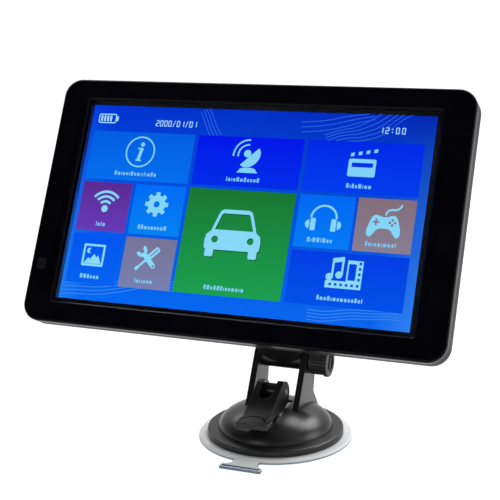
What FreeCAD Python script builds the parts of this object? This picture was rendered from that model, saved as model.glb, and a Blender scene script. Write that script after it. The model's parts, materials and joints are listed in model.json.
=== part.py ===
import FreeCAD, Part
import math
import os

from FreeCAD import Placement, Rotation, Vector

# A portable satellite navigator held by a back clip on a tilting suction-cup mount.
# Row frame: origin at the centre of the cup's sealing plane, +X to the viewer's right,
# +Y away from the viewer, +Z up. All sizes are in millimetres and degrees.

# Navigator, in its own frame: x from its middle, y back from its front face, z from its middle.
screen_width = 198.0
screen_height = 111.7
body_width = 238.0
body_height = 141.0
body_depth = 15.0
corner_radius = 10.0
case_wall = 1.8
front_wall = 1.8
rear_wall = 2.0
seam_depth = 6.0
seam_groove = 0.5
front_round = 1.4
rear_round = 3.4
screen_border = 2.8
panel_line_offset = 7.0
panel_line_width = 0.7
panel_line_depth = 0.4
panel_line_half_height = 45.0
panel_line_rise = 6.5
window_size = 6.8
window_side_inset = 6.3
window_drop = 38.5

touch_thickness = 1.1
gasket_thickness = 0.4
panel_thickness = 1.4
panel_margin = 4.5
frame_thickness = 2.2

boss_radius = 2.6
boss_inset = 6.3
middle_boss_x = -40.0
screw_radius = 1.0
screw_head_radius = 1.9
screw_head_height = 1.2

board_thickness = 1.2
board_gap = 1.5
board_width = 96.0
board_height = 84.0
board_side_gap = 0.6
board_post_inset = 5.0
board_post_radius = 2.2
port_set_back = 0.9
port_places = {"card": 24.0, "usb": 2.0, "phones": -18.0}
jack_length = 13.0
jack_radius = 1.8
jack_half_width = 3.0
jack_half_depth = 2.3
usb_width = 7.6
usb_depth = 3.8
usb_length = 9.0
port_clearance = 0.2
card_width = 11.0
card_thickness = 0.7
card_clearance = 0.06
card_lift = 0.55
card_socket_wall = 1.64
card_socket_height = 2.0

button_x = 78.0
button_width = 14.0
button_height = 3.0
button_proud = 0.7
button_travel = 0.5
button_clearance = 0.1
switch_drop = 2.75
switch_height = 3.3

speaker_place = (72.0, -24.0)
speaker_rim_radius = 15.5
speaker_basket_radius = 14.0
speaker_cone_radius = 12.5
speaker_cap_radius = 5.0
speaker_depth = 4.0
grille_pitch = 3.0
grille_hole_radius = 0.75
vent_place = (-62.0, 38.0)
vent_width = 30.0
vent_height = 1.4
vent_pitch = 3.2
vent_count = 6

battery_width = 62.0
battery_height = 44.0
battery_place = (66.0, 34.0)
cell_gap = 1.3

# Clip and its hooks; the clip frame has its origin on the clamp axis and leans with the navigator.
clip_offset = 23.6
clip_reach = 40.0
case_rise = 0.0
clip_gap = 0.3
clip_width = 64.0
clip_height = 56.0
clip_thickness = 3.0
hook_width = 8.0
hook_height = 3.0
hook_lip = 4.0
hook_lip_thickness = 1.5
hook_spacing_x = 46.0
hook_spacing_z = 30.0
hook_base_height = 13.0
web_low = -3.0
web_arc_radius = 24.0
web_rib = 6.4
unclip_travel = 6.0
lean_back = 27.3

# Clamp joint.
clamp_axis_y = 15.3
clamp_axis_z = 38.3
bolt_radius = 2.5
bolt_clearance = 0.08
barrel_wall = 3.0
washer_thickness = 0.8
washer_gap = 0.05
arm_gap = 23.3
arm_thickness = 3.3
arm_half_depth = 7.5
arm_lean = 30.0
arm_waist = (19.0, 20.0)
arm_shoulder = (21.0, 28.0)
arm_heel = (26.6, 9.6)
arm_foot_drop = 2.5
knob_radius = 7.1
knob_rim = 0.7
knob_rim_width = 2.2
knob_length = 10.0
bolt_end_gap = 0.5
knob_ridges = 24
knob_ridge_radius = 0.42
insert_wall = 1.7
insert_length = 8.0
bolt_head_rim = 1.4
bolt_head_sunk = 1.6
bolt_head_proud = 1.2

# Suction base.
dome_radius = 30.5
dome_height = 18.5
dome_wall = 2.2
dome_crown_extra = 0.6
flange_rim = 5.7
flange_height = 3.5
pad_rim = 4.8
pad_thickness = 2.0
pad_hollow_inset = 3.5
pad_lift = 2.2
pad_hub_radius = 13.0
pad_hub_cover = 1.2
seal_rib_insets = (5.0, 9.0)
tab_neck_width = 13.5
tab_end_width = 22.0
tab_length = 10.0
rod_radius = 3.4
rod_clearance = 0.05
rod_plate_radius = 11.0
rod_plate_thickness = 1.2
rod_plate_lift = 0.2
rod_plate_holes = 6
guide_wall = 2.1
guide_low = 9.2
bridge_thickness = 2.0
bridge_drop = 5.1
bridge_front = -3.0
bridge_rear = 9.0
strap_inset = 0.5
tenon_rise = 0.5
tenon_clearance = 0.1
fork_screw_gap = 4.0
fork_screw_radius = 0.88
fork_screw_head_radius = 1.8
fork_screw_head_height = 1.3
fork_post_radius = 2.6
spring_gap = 0.2
spring_width = 2.6
spring_leaf = 0.9

# Cam lever, shown locked down.
pin_y = -2.5
pin_rise = 8.4
pin_radius = 1.5
pin_clearance = 0.05
lever_travel = 62.0
seat_drop = 1.3
lever_gap = 0.3
lever_width = 14.4
lever_side_gap = 0.3
thumb_flare = 2.0
thumb_reach = 33.0
thumb_depth = 9.0
thumb_top = -6.4
thumb_low = -9.2
seat_thickness = 0.8
seat_margin = 1.0
seat_clearance = 0.05

# Derived places.
lcd_width = screen_width + 2 * panel_margin
lcd_height = screen_height + 2 * panel_margin
touch_back = front_wall + touch_thickness
gasket_back = touch_back + gasket_thickness
panel_back = gasket_back + panel_thickness
frame_back = panel_back + frame_thickness
inside_back = body_depth - rear_wall
inside_half_width = body_width / 2 - case_wall
inside_half_height = body_height / 2 - case_wall
clip_drop = body_height / 2 + case_rise
cell_front = frame_back + cell_gap
board_front = frame_back + board_gap
board_back = board_front + board_thickness
board_left = -inside_half_width + board_side_gap
port_depth = board_front + port_set_back
card_front = board_back + card_lift
barrel_radius = bolt_radius + barrel_wall
insert_radius = bolt_radius + insert_wall
flange_radius = dome_radius + flange_rim
flange_top = pad_thickness + flange_height
pad_radius = flange_radius + pad_rim
pad_hollow_radius = dome_radius - pad_hollow_inset
pad_hub_top = pad_lift + pad_thickness + rod_plate_thickness + pad_hub_cover
plate_low = pad_lift + pad_thickness + rod_plate_lift
dome_inner_height = dome_height - dome_wall - dome_crown_extra
guide_radius = rod_radius + guide_wall
bridge_top = dome_height - bridge_drop
bridge_low = bridge_top - bridge_thickness
fork_screw_y = guide_radius + fork_screw_gap
spring_inner = guide_radius + spring_gap
lever_seat = dome_height - seat_drop
seat_low = lever_seat - seat_thickness
pin_z = lever_seat + pin_rise
lever_slot = 2 * (rod_radius + lever_side_gap)
thumb_width = lever_width + 2 * thumb_flare
seat_width = lever_width + 2 * seat_margin
arm_outer = arm_gap / 2 + arm_thickness
plate_back = -clip_reach + body_depth + clip_gap + clip_thickness
plate_front = plate_back - clip_thickness
cam_start = 90.0 - lever_travel / 2
cam_offset = pad_lift / (2 * math.sin(math.radians(lever_travel / 2)))
cam_radius = pin_z - lever_seat - cam_offset * math.cos(math.radians(cam_start)) - lever_gap


def box(x0, x1, y0, y1, z0, z1):
    return Part.makeBox(x1 - x0, y1 - y0, z1 - z0, Vector(x0, y0, z0))


def cylinder_x(x0, x1, y, z, radius):
    return Part.makeCylinder(radius, x1 - x0, Vector(x0, y, z), Vector(1, 0, 0))


def cylinder_y(x, y0, y1, z, radius):
    return Part.makeCylinder(radius, y1 - y0, Vector(x, y0, z), Vector(0, 1, 0))


def cylinder_z(x, y, z0, z1, radius):
    return Part.makeCylinder(radius, z1 - z0, Vector(x, y, z0), Vector(0, 0, 1))


def rounded_slab(width, height, radius, y0, y1, x=0.0, z=0.0):
    """Rounded rectangle in the XZ plane, from depth y0 to y1."""
    slab = box(x - width / 2, x + width / 2, y0, y1, z - height / 2, z + height / 2)
    corners = [edge for edge in slab.Edges if abs(edge.tangentAt(edge.FirstParameter).y) > 0.9]
    return slab.makeFillet(radius, corners)


def prism(outline, axis, start, end):
    """Closed outline of (a, b) points pushed along an axis: x takes (y, z), y takes (x, z)."""
    if axis == "x":
        points = [Vector(start, a, b) for a, b in outline]
        travel = Vector(end - start, 0, 0)
    elif axis == "y":
        points = [Vector(a, start, b) for a, b in outline]
        travel = Vector(0, end - start, 0)
    else:
        points = [Vector(a, b, start) for a, b in outline]
        travel = Vector(0, 0, end - start)
    return Part.Face(Part.makePolygon(points + [points[0]])).extrude(travel)


def fuse(shapes):
    solid = shapes[0]
    for shape in shapes[1:]:
        solid = solid.fuse(shape)
    return solid.removeSplitter()


def cut(solid, tools):
    for tool in tools:
        solid = solid.cut(tool)
    return solid


def edges_at_y(solid, y):
    return [edge for edge in solid.Edges
            if all(abs(vertex.Y - y) < 1e-6 for vertex in edge.Vertexes)]


def lean(shape):
    """Turns a shape from the clip frame into the row frame."""
    leaned = shape.copy()
    leaned.Placement = Placement(Vector(0, clamp_axis_y, clamp_axis_z),
                                 Rotation(Vector(1, 0, 0), -lean_back)).multiply(leaned.Placement)
    return leaned


def place_navigator(shape):
    moved = shape.copy()
    moved.translate(Vector(-clip_offset, -clip_reach, clip_drop))
    return lean(moved)


def export(shape, name):
    shape.exportStep("parts/" + name + ".step")


# ---- Navigator case -------------------------------------------------------------------

def boss_places():
    x = body_width / 2 - boss_inset
    z = body_height / 2 - boss_inset
    corners = [(side * x, level * z) for side in (-1, 1) for level in (-1, 1)]
    return corners + [(middle_boss_x, level * (z + 1.2)) for level in (-1, 1)]


def panel_line(side):
    """The shallow line that sets off one side of the bezel."""
    inner = side * (screen_width / 2 + panel_line_offset)
    outer = side * (body_width / 2 + 1)
    half = panel_line_half_height
    low = half + panel_line_rise
    path = [(outer, low), (inner, half), (inner, -half), (outer, -low)]
    strips = []
    for (x0, z0), (x1, z1) in zip(path, path[1:]):
        run = math.hypot(x1 - x0, z1 - z0)
        strip = box(-panel_line_width / 2, run + panel_line_width / 2, -1, panel_line_depth,
                    -panel_line_width / 2, panel_line_width / 2)
        angle = math.degrees(math.atan2(z1 - z0, x1 - x0))
        strip.Placement = Placement(Vector(x0, 0, z0), Rotation(Vector(0, -1, 0), angle))
        strips.append(strip)
    return fuse(strips)


def window_place():
    return -body_width / 2 + window_side_inset, -window_drop


def front_bezel():
    outer = rounded_slab(body_width, body_height, corner_radius, 0, seam_depth)
    outer = outer.makeFillet(front_round, edges_at_y(outer, 0))
    inner = rounded_slab(body_width - 2 * case_wall, body_height - 2 * case_wall,
                         corner_radius - case_wall, front_wall, seam_depth)
    opening_width = screen_width + 2 * screen_border
    opening_height = screen_height + 2 * screen_border
    opening = rounded_slab(opening_width, opening_height, 1.0, -1, front_wall)
    x, z = window_place()
    window = rounded_slab(window_size, window_size, 1.4, -1, front_wall, x, z)
    bezel = cut(outer, [inner, opening])
    bezel = bezel.makeChamfer(0.9, [edge for edge in edges_at_y(bezel, 0)
                                    if abs(edge.CenterOfMass.x) < opening_width / 2 + 0.5
                                    and abs(edge.CenterOfMass.z) < opening_height / 2 + 0.5])
    bezel = cut(bezel, [window, panel_line(-1), panel_line(1)])
    for x, z in boss_places():
        bezel = bezel.fuse(cylinder_y(x, front_wall, seam_depth + 4, z, boss_radius))
    for x, z in boss_places():
        bezel = bezel.cut(cylinder_y(x, front_wall + 1, seam_depth + 4, z, screw_radius))
    return bezel.removeSplitter()


def grille_holes(x, z):
    holes = []
    for ring in range(4):
        count = max(1, 6 * ring)
        for step in range(count):
            angle = 2 * math.pi * step / count
            holes.append(cylinder_y(x + grille_pitch * ring * math.cos(angle), inside_back - 0.5,
                                    body_depth + 0.5, z + grille_pitch * ring * math.sin(angle),
                                    grille_hole_radius))
    return holes


def hook_places():
    """Hook centres in the clip frame."""
    return [(side * hook_spacing_x / 2, hook_base_height + level * hook_spacing_z)
            for side in (-1, 1) for level in (0, 1)]


def hook_slots():
    """Slots in navigator coordinates that the hooks enter and ride down in."""
    slots = []
    for x, z in hook_places():
        top = z + hook_height / 2 + 0.1 - clip_drop
        low = z - hook_height / 2 - unclip_travel - 0.4 - clip_drop
        half = hook_width / 2 + 0.3
        slots.append(box(x + clip_offset - half, x + clip_offset + half,
                         inside_back - 0.1, body_depth + 1, low, top))
    return slots


def board_posts():
    left = board_left + board_post_inset
    right = board_left + board_width - board_post_inset
    level = board_height / 2 - board_post_inset
    return [(x, z) for x in (left, right) for z in (-level, level)]


def rear_cover():
    outer = rounded_slab(body_width, body_height, corner_radius, seam_depth, body_depth)
    outer = outer.makeFillet(rear_round, edges_at_y(outer, body_depth))
    inner = rounded_slab(body_width - 2 * case_wall, body_height - 2 * case_wall,
                         corner_radius - case_wall, seam_depth, inside_back)
    inner = inner.makeFillet(rear_round - case_wall, edges_at_y(inner, inside_back))
    rim_outside = rounded_slab(body_width + 2, body_height + 2, corner_radius + 1,
                               seam_depth, seam_depth + seam_groove)
    rim_inside = rounded_slab(body_width - 0.9, body_height - 0.9, corner_radius - 0.45,
                              seam_depth, seam_depth + seam_groove)
    cover = cut(outer, [inner, rim_outside.cut(rim_inside)])
    for x, z in board_posts():
        cover = cover.fuse(cylinder_y(x, board_back, inside_back + 0.5, z, board_post_radius))
        cover = cover.cut(cylinder_y(x, board_back - 1, inside_back - 0.6, z, 0.8))
    for x, z in boss_places():
        cover = cover.fuse(cylinder_y(x, seam_depth + 4, inside_back + 0.5, z, boss_radius))
        cover = cover.cut(cylinder_y(x, seam_depth, body_depth + 1, z, screw_radius + 0.15))
        cover = cover.cut(cylinder_y(x, body_depth - screw_head_height - 0.6, body_depth + 1, z,
                                     screw_head_radius + 0.2))
    speaker_x, speaker_z = speaker_place
    cover = cut(cover, grille_holes(speaker_x, speaker_z))
    vent_x, vent_z = vent_place
    for step in range(vent_count):
        z = vent_z + vent_pitch * (step - (vent_count - 1) / 2)
        cover = cover.cut(rounded_slab(vent_width, vent_height, vent_height / 2 - 0.05,
                                       inside_back - 0.5, body_depth + 1, vent_x, z))
    cover = cut(cover, hook_slots())
    outside = -body_width / 2 - 1
    inside = -inside_half_width + 0.1
    card_half = card_width / 2 + 0.7
    cover = cover.cut(box(outside, inside, card_front - 0.3, card_front + card_thickness + 0.3,
                          port_places["card"] - card_half, port_places["card"] + card_half))
    usb_half_width = usb_width / 2 + port_clearance + 0.1
    usb_half_depth = usb_depth / 2 + port_clearance
    cover = cover.cut(box(outside, inside, port_depth - usb_half_depth, port_depth + usb_half_depth,
                          port_places["usb"] - usb_half_width, port_places["usb"] + usb_half_width))
    cover = cover.cut(cylinder_x(outside, inside, port_depth, port_places["phones"],
                                 jack_nose_radius() + 0.15))
    cover = cover.cut(cylinder_y(board_left + 30, inside_back - 0.5, body_depth + 1, -28, 0.7))
    top = body_height / 2
    half_width = button_width / 2 + button_clearance
    half_height = button_height / 2 + button_clearance
    cover = cover.cut(box(button_x - half_width, button_x + half_width, port_depth - half_height,
                          port_depth + half_height, top - case_wall - 0.1, top + 1))
    return cover.removeSplitter()


# ---- Navigator insides ----------------------------------------------------------------

def jack_nose_radius():
    return jack_radius + 0.75


def backlight_frame():
    frame = rounded_slab(lcd_width + 2.4, lcd_height + 2.4, 1.0, gasket_back, frame_back)
    pocket = rounded_slab(lcd_width, lcd_height, 0.5, gasket_back, panel_back)
    stiffeners = [box(x - 1, x + 1, frame_back - 0.6, frame_back, -lcd_height / 3, lcd_height / 3)
                  for x in (-72.0, -24.0, 24.0, 72.0)]
    return cut(frame, [pocket] + stiffeners)


def main_board():
    board = box(board_left, board_left + board_width, board_front, board_back,
                -board_height / 2, board_height / 2)
    holes = [cylinder_y(x, board_front - 1, board_back + 1, z, 1.15) for x, z in board_posts()]
    return cut(board, holes)


def board_chips():
    """Processor, memories and small parts on the back of the board."""
    chips = [box(board_left + 58, board_left + 72, board_back, board_back + 1.4, -30, -16)]
    for step in range(2):
        x = board_left + 56 + 14 * step
        chips.append(box(x, x + 10, board_back, board_back + 1.1, -8, 6))
    for step in range(6):
        x = board_left + 22 + 5 * step
        chips.append(box(x, x + 3, board_back, board_back + 1.0, -36, -34))
    return Part.makeCompound(chips)


def shield_can():
    x = board_left + 24
    outer = box(x, x + 26, board_back, board_back + 2.2, -12, 14)
    inner = box(x + 0.4, x + 25.6, board_back, board_back + 1.8, -11.6, 13.6)
    vents = [cylinder_y(x + 6.5 * i, board_back + 1, board_back + 3, -6 + 7 * k, 0.8)
             for i in (1, 2, 3) for k in (0, 1, 2)]
    return cut(outer, [inner] + vents)


def usb_socket():
    z = port_places["usb"]
    left = -inside_half_width + 0.15
    half_depth = usb_depth / 2
    half_width = usb_width / 2
    shell = box(left, left + usb_length, port_depth - half_depth, port_depth + half_depth,
                z - half_width, z + half_width)
    mouth = box(left - 1, left + usb_length - 1.5, port_depth - half_depth + 0.4,
                port_depth + half_depth - 0.4, z - half_width + 0.4, z + half_width - 0.4)
    tongue = box(left + 1, left + usb_length - 1, port_depth - 0.4, port_depth + 0.4,
                 z - half_width + 1.4, z + half_width - 1.4)
    return shell.cut(mouth).fuse(tongue).removeSplitter()


def earphone_jack():
    z = port_places["phones"]
    left = -body_width / 2 + 0.2
    wall = -inside_half_width + 0.15
    nose = cylinder_x(left, wall + 1, port_depth, z, jack_nose_radius())
    block = box(wall, left + jack_length + 1.4, port_depth - jack_half_depth, port_depth + jack_half_depth,
                z - jack_half_width, z + jack_half_width)
    bore = cylinder_x(left - 1, left + jack_length, port_depth, z, jack_radius)
    return nose.fuse(block).cut(bore).removeSplitter()


def board_outline_notches():
    """Room in the board for the sockets that are set into its edge."""
    usb = port_places["usb"]
    phones = port_places["phones"]
    usb_half = usb_width / 2 + port_clearance
    phones_half = jack_half_width + port_clearance
    return [box(board_left - 1, board_left + usb_length + port_clearance, board_front - 1, board_back + 1,
                usb - usb_half, usb + usb_half),
            box(board_left - 1, board_left + jack_length + 1.2, board_front - 1, board_back + 1,
                phones - phones_half, phones + phones_half)]


def card_socket():
    z = port_places["card"]
    track_half = card_width / 2 + card_clearance
    outer_half = track_half + card_socket_wall
    outer = box(board_left, board_left + 15, board_back, board_back + card_socket_height,
                z - outer_half, z + outer_half)
    track = box(board_left - 1, board_left + 14, card_front - card_clearance,
                card_front + card_thickness + card_clearance, z - track_half, z + track_half)
    return outer.cut(track)


def memory_card():
    z = port_places["card"]
    return box(-body_width / 2 + 0.4, board_left + 13.6, card_front, card_front + card_thickness,
               z - card_width / 2, z + card_width / 2)


def power_switch():
    top = inside_half_height
    body_top = top - switch_drop - 0.35
    body = box(button_x - 3, button_x + 3, port_depth - 1.7, inside_back, body_top - switch_height, body_top)
    plunger = box(button_x - 1.2, button_x + 1.2, port_depth - 0.9, port_depth + 0.9,
                  body_top, top - switch_drop)
    return body.fuse(plunger).removeSplitter()


def power_button():
    top = body_height / 2
    half_width = button_width / 2
    half_height = button_height / 2
    cap = box(button_x - half_width, button_x + half_width, port_depth - half_height,
              port_depth + half_height, top - case_wall - 0.5, top + button_proud)
    cap = cap.makeFillet(0.6, [edge for edge in cap.Edges
                               if abs(edge.CenterOfMass.z - top - button_proud) < 1e-6])
    flange = box(button_x - half_width - 1, button_x + half_width + 1, port_depth - half_height - 0.8,
                 port_depth + half_height + 0.8, top - case_wall - 1.0, top - case_wall - 0.3)
    stem = box(button_x - 1.2, button_x + 1.2, port_depth - 0.9, port_depth + 0.9,
               inside_half_height - switch_drop + button_travel + 0.05, top - case_wall - 0.9)
    return fuse([cap, flange, stem])


def speaker():
    x, z = speaker_place
    back = cell_front + speaker_depth
    basket = cylinder_y(x, cell_front, back - 0.6, z, speaker_basket_radius)
    rim = cylinder_y(x, back - 1.0, back, z, speaker_rim_radius)
    hollow = cylinder_y(x, back - 1.6, back + 0.1, z, speaker_cone_radius)
    dome = cylinder_y(x, back - 1.6, back - 0.7, z, speaker_cap_radius)
    return cut(basket.fuse(rim), [hollow]).fuse(dome).removeSplitter()


def speaker_foam():
    x, z = speaker_place
    front = cell_front + speaker_depth
    ring = cylinder_y(x, front, inside_back, z, speaker_rim_radius - 0.2)
    return ring.cut(cylinder_y(x, front - 1, inside_back + 1, z, speaker_cone_radius))


def indicator_window():
    x, z = window_place()
    plate = rounded_slab(window_size - 0.1, window_size - 0.1, 1.35, 0.35, front_wall + 0.2, x, z)
    ring = cylinder_y(x, 0.1, 0.6, z, 2.4).cut(cylinder_y(x, 0, 0.7, z, 1.6))
    flange = rounded_slab(window_size + 1.6, window_size + 1.6, 1.6, front_wall, front_wall + 0.6, x, z)
    return fuse([plate, ring, flange])


def ribbon(x, width, z_board, z_panel):
    """Flat flex that leaves the panel's back, turns over and lands on the front of the board."""
    land = box(x, x + width, board_front - 0.2, board_front, z_board - 6, z_board)
    rise = box(x, x + width, frame_back, board_front, z_board, z_board + 0.2)
    run = box(x, x + width, frame_back, frame_back + 0.2, z_board, z_panel)
    return fuse([land, rise, run])


def case_screws():
    screws = []
    for x, z in boss_places():
        head_back = body_depth - 0.6
        head = cylinder_y(x, head_back - screw_head_height, head_back, z, screw_head_radius)
        shank = cylinder_y(x, front_wall + 1.6, head_back - screw_head_height, z, screw_radius - 0.02)
        cross = [box(x - 1.2, x + 1.2, head_back - 0.6, head_back + 1, z - 0.25, z + 0.25),
                 box(x - 0.25, x + 0.25, head_back - 0.6, head_back + 1, z - 1.2, z + 1.2)]
        screws.append(cut(head.fuse(shank), cross))
    return Part.makeCompound(screws)


def board_screws():
    screws = []
    for x, z in board_posts():
        head = cylinder_y(x, board_front - 0.9, board_front, z, 1.9)
        shank = cylinder_y(x, board_front, inside_back - 0.8, z, 0.78)
        slot = box(x - 1.3, x + 1.3, board_front - 1, board_front - 0.5, z - 0.2, z + 0.2)
        screws.append(head.fuse(shank).cut(slot))
    return Part.makeCompound(screws)


def export_navigator():
    opening = (screen_width + 2 * screen_border, screen_height + 2 * screen_border)
    window_x, window_z = window_place()
    pieces = {
        "front_bezel": front_bezel(),
        "rear_cover": rear_cover(),
        "touch_panel": rounded_slab(opening[0] + 4, opening[1] + 4, 1.0, front_wall, touch_back),
        "screen_gasket": rounded_slab(opening[0] + 3, opening[1] + 3, 1.0, touch_back, gasket_back).cut(
            rounded_slab(screen_width + 1, screen_height + 1, 0.5, 0, gasket_back)),
        "lcd_panel": rounded_slab(lcd_width, lcd_height, 0.5, gasket_back, panel_back),
        "backlight_frame": backlight_frame(),
        "main_board": cut(main_board(), board_outline_notches()),
        "board_chips": board_chips(),
        "shield_can": shield_can(),
        "gps_antenna": box(board_left + 60, board_left + 85, board_back, board_back + 3.0, 12, 37),
        "battery": rounded_slab(battery_width, battery_height, 2.0, cell_front, inside_back, *battery_place),
        "speaker": speaker(),
        "speaker_foam": speaker_foam(),
        "microphone": cylinder_y(board_left + 46, board_back, board_back + 1.6, -30, 2.0),
        "card_socket": card_socket(),
        "usb_socket": usb_socket(),
        "earphone_jack": earphone_jack(),
        "power_switch": power_switch(),
        "reset_switch": box(board_left + 28, board_left + 32, board_back, board_back + 2.6, -30, -26),
        "indicator_window": indicator_window(),
        "indicator_led": box(window_x - 1.0, window_x + 1.0, front_wall + 0.6, front_wall + 1.6,
                             window_z - 1.6, window_z + 1.6),
        "display_ribbon": ribbon(board_left + 60, 16, 10, 30),
        "touch_ribbon": ribbon(board_left + 84, 6, 10, 30),
        "case_screws": case_screws(),
        "board_screws": board_screws(),
        "power_button": power_button(),
        "memory_card": memory_card(),
    }
    for name, shape in pieces.items():
        export(place_navigator(shape), name)


# ---- Back clip and clamp --------------------------------------------------------------

def back_clip():
    """Plate with four hooks, and the web that carries it on the clamp barrel."""
    half = clip_width / 2
    low = 4.0
    plate = rounded_slab(clip_width, clip_height, 6.0, plate_front, plate_back, 0, low + clip_height / 2)
    plate = plate.makeFillet(1.0, edges_at_y(plate, plate_back))
    barrel_half = arm_gap / 2 - washer_thickness - washer_gap
    barrel = cylinder_x(-barrel_half, barrel_half, 0, 0, barrel_radius)
    web = prism([(plate_back, low + 1), (plate_back, low + 26), (-4.0, 4.2), (0.0, 2.0), (-5.0, web_low)],
                "x", -barrel_half, barrel_half)
    web = web.common(cylinder_y(0, plate_back - 1, 10, web_low + web_arc_radius, web_arc_radius))
    windows = [box(side_low, side_high, plate_back + 4, 40, 13, 40)
               for side_low, side_high in ((-barrel_half - 1, -web_rib / 2), (web_rib / 2, barrel_half + 1))]
    ribs = [box(x - 1.2, x + 1.2, plate_back, plate_back + 1.6, low + 6, low + clip_height - 6)
            for x in (-half + 8, half - 8)]
    clip = fuse([plate, barrel, web] + ribs)
    clip = cut(clip, windows)
    for x, z in hook_places():
        low_z = z - hook_height / 2
        high_z = z + hook_height / 2
        lip_back = -clip_reach + inside_back - 0.15
        neck = box(x - hook_width / 2, x + hook_width / 2, lip_back - hook_lip_thickness, plate_front + 0.5,
                   low_z, high_z)
        lip = box(x - hook_width / 2, x + hook_width / 2, lip_back - hook_lip_thickness, lip_back,
                  low_z, high_z + hook_lip)
        clip = fuse([clip, neck, lip])
    return clip.cut(cylinder_x(-20, 20, 0, 0, bolt_radius + bolt_clearance))


def clamp_washers():
    rings = []
    for side in (-1, 1):
        inner = side * (arm_gap / 2 - washer_thickness)
        start = min(inner, side * arm_gap / 2)
        ring = cylinder_x(start, start + washer_thickness, 0, 0, barrel_radius - 0.3)
        rings.append(ring.cut(cylinder_x(-20, 20, 0, 0, bolt_radius + bolt_clearance)))
    return Part.makeCompound(rings)


def knob_start():
    return arm_outer + washer_thickness


def clamp_bolt():
    """Hexagon-headed bolt held in the left arm, with its thread in the knob's insert."""
    head_inside = -arm_outer + bolt_head_sunk
    shank = cylinder_x(head_inside, knob_start() + insert_length - bolt_end_gap, 0, 0, bolt_radius)
    reach = bolt_radius + bolt_head_rim
    corners = [(reach * math.cos(math.radians(60 * step)), reach * math.sin(math.radians(60 * step)))
               for step in range(6)]
    head = prism(corners, "x", -arm_outer - bolt_head_proud, head_inside)
    return shank.fuse(head).removeSplitter()


def clamp_knob():
    start = knob_start()
    end = start + knob_length
    knob = cylinder_x(start, end, 0, 0, knob_radius)
    rim_low = end - knob_rim_width
    knob = knob.fuse(cylinder_x(rim_low, end, 0, 0, knob_radius + knob_rim)).removeSplitter()
    rims = [edge for edge in knob.Edges if abs(edge.CenterOfMass.x - end) < 1e-6 and edge.Closed]
    knob = knob.makeFillet(0.6, rims)
    for step in range(knob_ridges):
        angle = 2 * math.pi * step / knob_ridges
        for low, high, reach in ((start + 1.2, rim_low, knob_radius), (rim_low, end + 1, knob_radius + knob_rim)):
            knob = knob.cut(cylinder_x(low, high, reach * math.cos(angle), reach * math.sin(angle),
                                       knob_ridge_radius))
    seat = cylinder_x(start - 1, start + insert_length, 0, 0, insert_radius)
    slot = box(end - 1.6, end + 1, -1.1, 1.1, -3.6, 3.6)
    dish = cylinder_x(end - 0.7, end + 1, 0, 0, knob_radius - 2.1)
    return cut(knob, [seat, dish, slot])


def knob_insert():
    start = knob_start()
    sleeve = cylinder_x(start, start + insert_length, 0, 0, insert_radius)
    return sleeve.cut(cylinder_x(start - 1, start + insert_length + 1, 0, 0, bolt_radius + bolt_clearance))


def knob_washer():
    ring = cylinder_x(arm_outer, knob_start() - washer_gap, 0, 0, 5.2)
    return ring.cut(cylinder_x(0, 30, 0, 0, bolt_radius + bolt_clearance))


def export_clamp():
    export(lean(back_clip()), "back_clip")
    export(lean(clamp_washers()), "friction_washers")
    export(lean(clamp_bolt()), "clamp_bolt")
    export(lean(clamp_knob()), "clamp_knob")
    export(lean(knob_insert()), "knob_insert")
    export(lean(knob_washer()), "knob_washer")


# ---- Suction base ---------------------------------------------------------------------

def turned(outline, arcs=()):
    """Body of revolution about Z from (radius, z) points; arcs are extra curved edges."""
    edges = [Part.makeLine(Vector(r0, 0, z0), Vector(r1, 0, z1))
             for (r0, z0), (r1, z1) in zip(outline, outline[1:])]
    wire = Part.Wire(Part.__sortEdges__(edges + list(arcs)))
    return Part.Face(wire).revolve(Vector(0, 0, 0), Vector(0, 0, 1), 360)


def dome_arc(radius, height):
    curve = Part.Ellipse(Vector(radius, 0, flange_top), Vector(0, 0, height), Vector(0, 0, flange_top))
    return Part.Arc(curve, 0, math.pi / 2).toShape()


def dome_solid(extra):
    """The dome's outer form, grown by extra."""
    radius = dome_radius + extra
    height = dome_height + extra
    return turned([(0, height), (0, 0), (radius, 0), (radius, flange_top)], [dome_arc(radius, height)])


def seat_pocket(extra):
    half = seat_width / 2 + extra
    return box(-half, half, pin_y - 11.5 - extra, pin_y + 8.5 + extra, seat_low, dome_height + 20)


def tenon(side, extra):
    inner = side * (arm_gap / 2 - extra)
    outer = side * (arm_outer + extra)
    return box(min(inner, outer), max(inner, outer), bridge_front - extra, bridge_rear + extra,
               bridge_low, dome_height + tenon_rise)


def cup_shell():
    flange = cylinder_z(0, 0, pad_thickness, flange_top, flange_radius)
    rim = [edge for edge in flange.Edges if edge.Closed and abs(edge.CenterOfMass.z - flange_top) < 1e-6]
    flange = flange.makeFillet(0.8, rim)
    shell = flange.fuse(dome_solid(0).common(cylinder_z(0, 0, pad_thickness, 40, flange_radius)))
    inner_radius = dome_radius - dome_wall
    cavity = turned([(0, dome_inner_height), (0, 0), (inner_radius, 0), (inner_radius, flange_top)],
                    [dome_arc(inner_radius, dome_inner_height)])
    shell = shell.cut(cavity)
    guide = cylinder_z(0, 0, guide_low, dome_inner_height + 1, guide_radius)
    posts = [cylinder_z(0, side * fork_screw_y, bridge_top, dome_inner_height, fork_post_radius)
             for side in (-1, 1)]
    shell = fuse([shell, guide] + posts)
    tools = [seat_pocket(0), cylinder_z(0, 0, 0, dome_height + 20, rod_radius + rod_clearance)]
    tools += [tenon(side, tenon_clearance) for side in (-1, 1)]
    tools += [cylinder_z(0, side * fork_screw_y, bridge_top - 1, seat_low - 0.7, fork_screw_radius + 0.02)
              for side in (-1, 1)]
    shell = cut(shell, tools)
    return shell.removeSplitter()


def seat_plate():
    plate = seat_pocket(-seat_clearance).common(cylinder_z(0, 0, 0, lever_seat, dome_radius))
    plate = plate.common(dome_solid(-0.3))
    return plate.cut(cylinder_z(0, 0, 0, 40, rod_radius + 0.4))


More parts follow.
